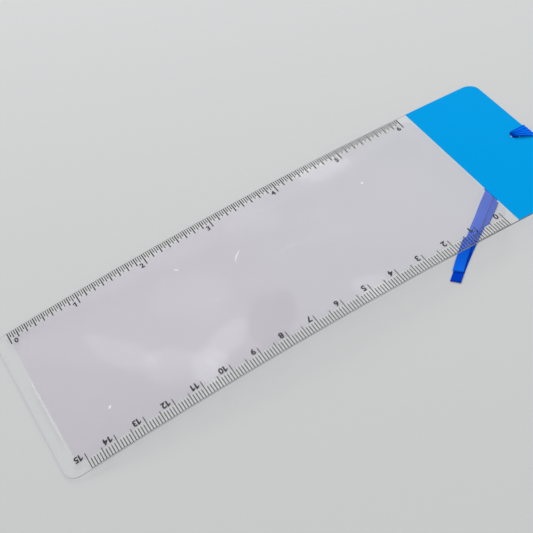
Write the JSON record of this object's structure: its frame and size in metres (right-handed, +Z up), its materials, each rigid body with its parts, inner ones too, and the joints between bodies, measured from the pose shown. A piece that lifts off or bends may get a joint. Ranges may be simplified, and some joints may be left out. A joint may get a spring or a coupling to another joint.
{
  "type": "card magnifier",
  "caption": "Clear bowed plastic card with a flat ribbed lens, printed centimetre and inch rulers, a blue end panel and a satin ribbon looped through a hole.",
  "frame": {"origin": "on the table, under the middle of the card", "axes": "+X along the card towards the blue panel, +Y towards the inch ruler, +Z up"},
  "size_m": [0.1907, 0.0724, 0.0052],
  "materials": {
    "clear_plastic": "clear glossy sheet plastic with fine handling scratches",
    "lens_plastic": "clear sheet plastic with a faint violet-grey tint and fine concentric ridges",
    "blue_print": "glossy bright blue printed film",
    "black_print": "thin black screen-printed ink",
    "blue_satin": "deep blue woven satin ribbon with a soft sheen"
  },
  "bodies": {
    "card": {"clear_card": "clear_plastic", "fresnel_lens": "lens_plastic", "blue_panel": "blue_print", "centimetre_ruler": "black_print", "inch_ruler": "black_print", "ribbon_loop": "blue_satin"},
    "ribbon": {"ribbon_throat": "blue_satin", "ribbon_short_tail": "blue_satin"},
    "long_tail": {"ribbon_long_tail": "blue_satin"}
  },
  "joints": [
    {"name": "ribbon_swing", "type": "hinge", "parent": "card", "child": "ribbon", "pos_m": [0.09, 0.001, 0], "axis": [0, 0, 1], "range_deg": [-127, 143]},
    {"name": "tail_fan", "type": "hinge", "parent": "ribbon", "child": "long_tail", "pos_m": [0.09, 0.001, 0], "axis": [0, 0, 1], "range_deg": [-15, 25]}
  ]
}
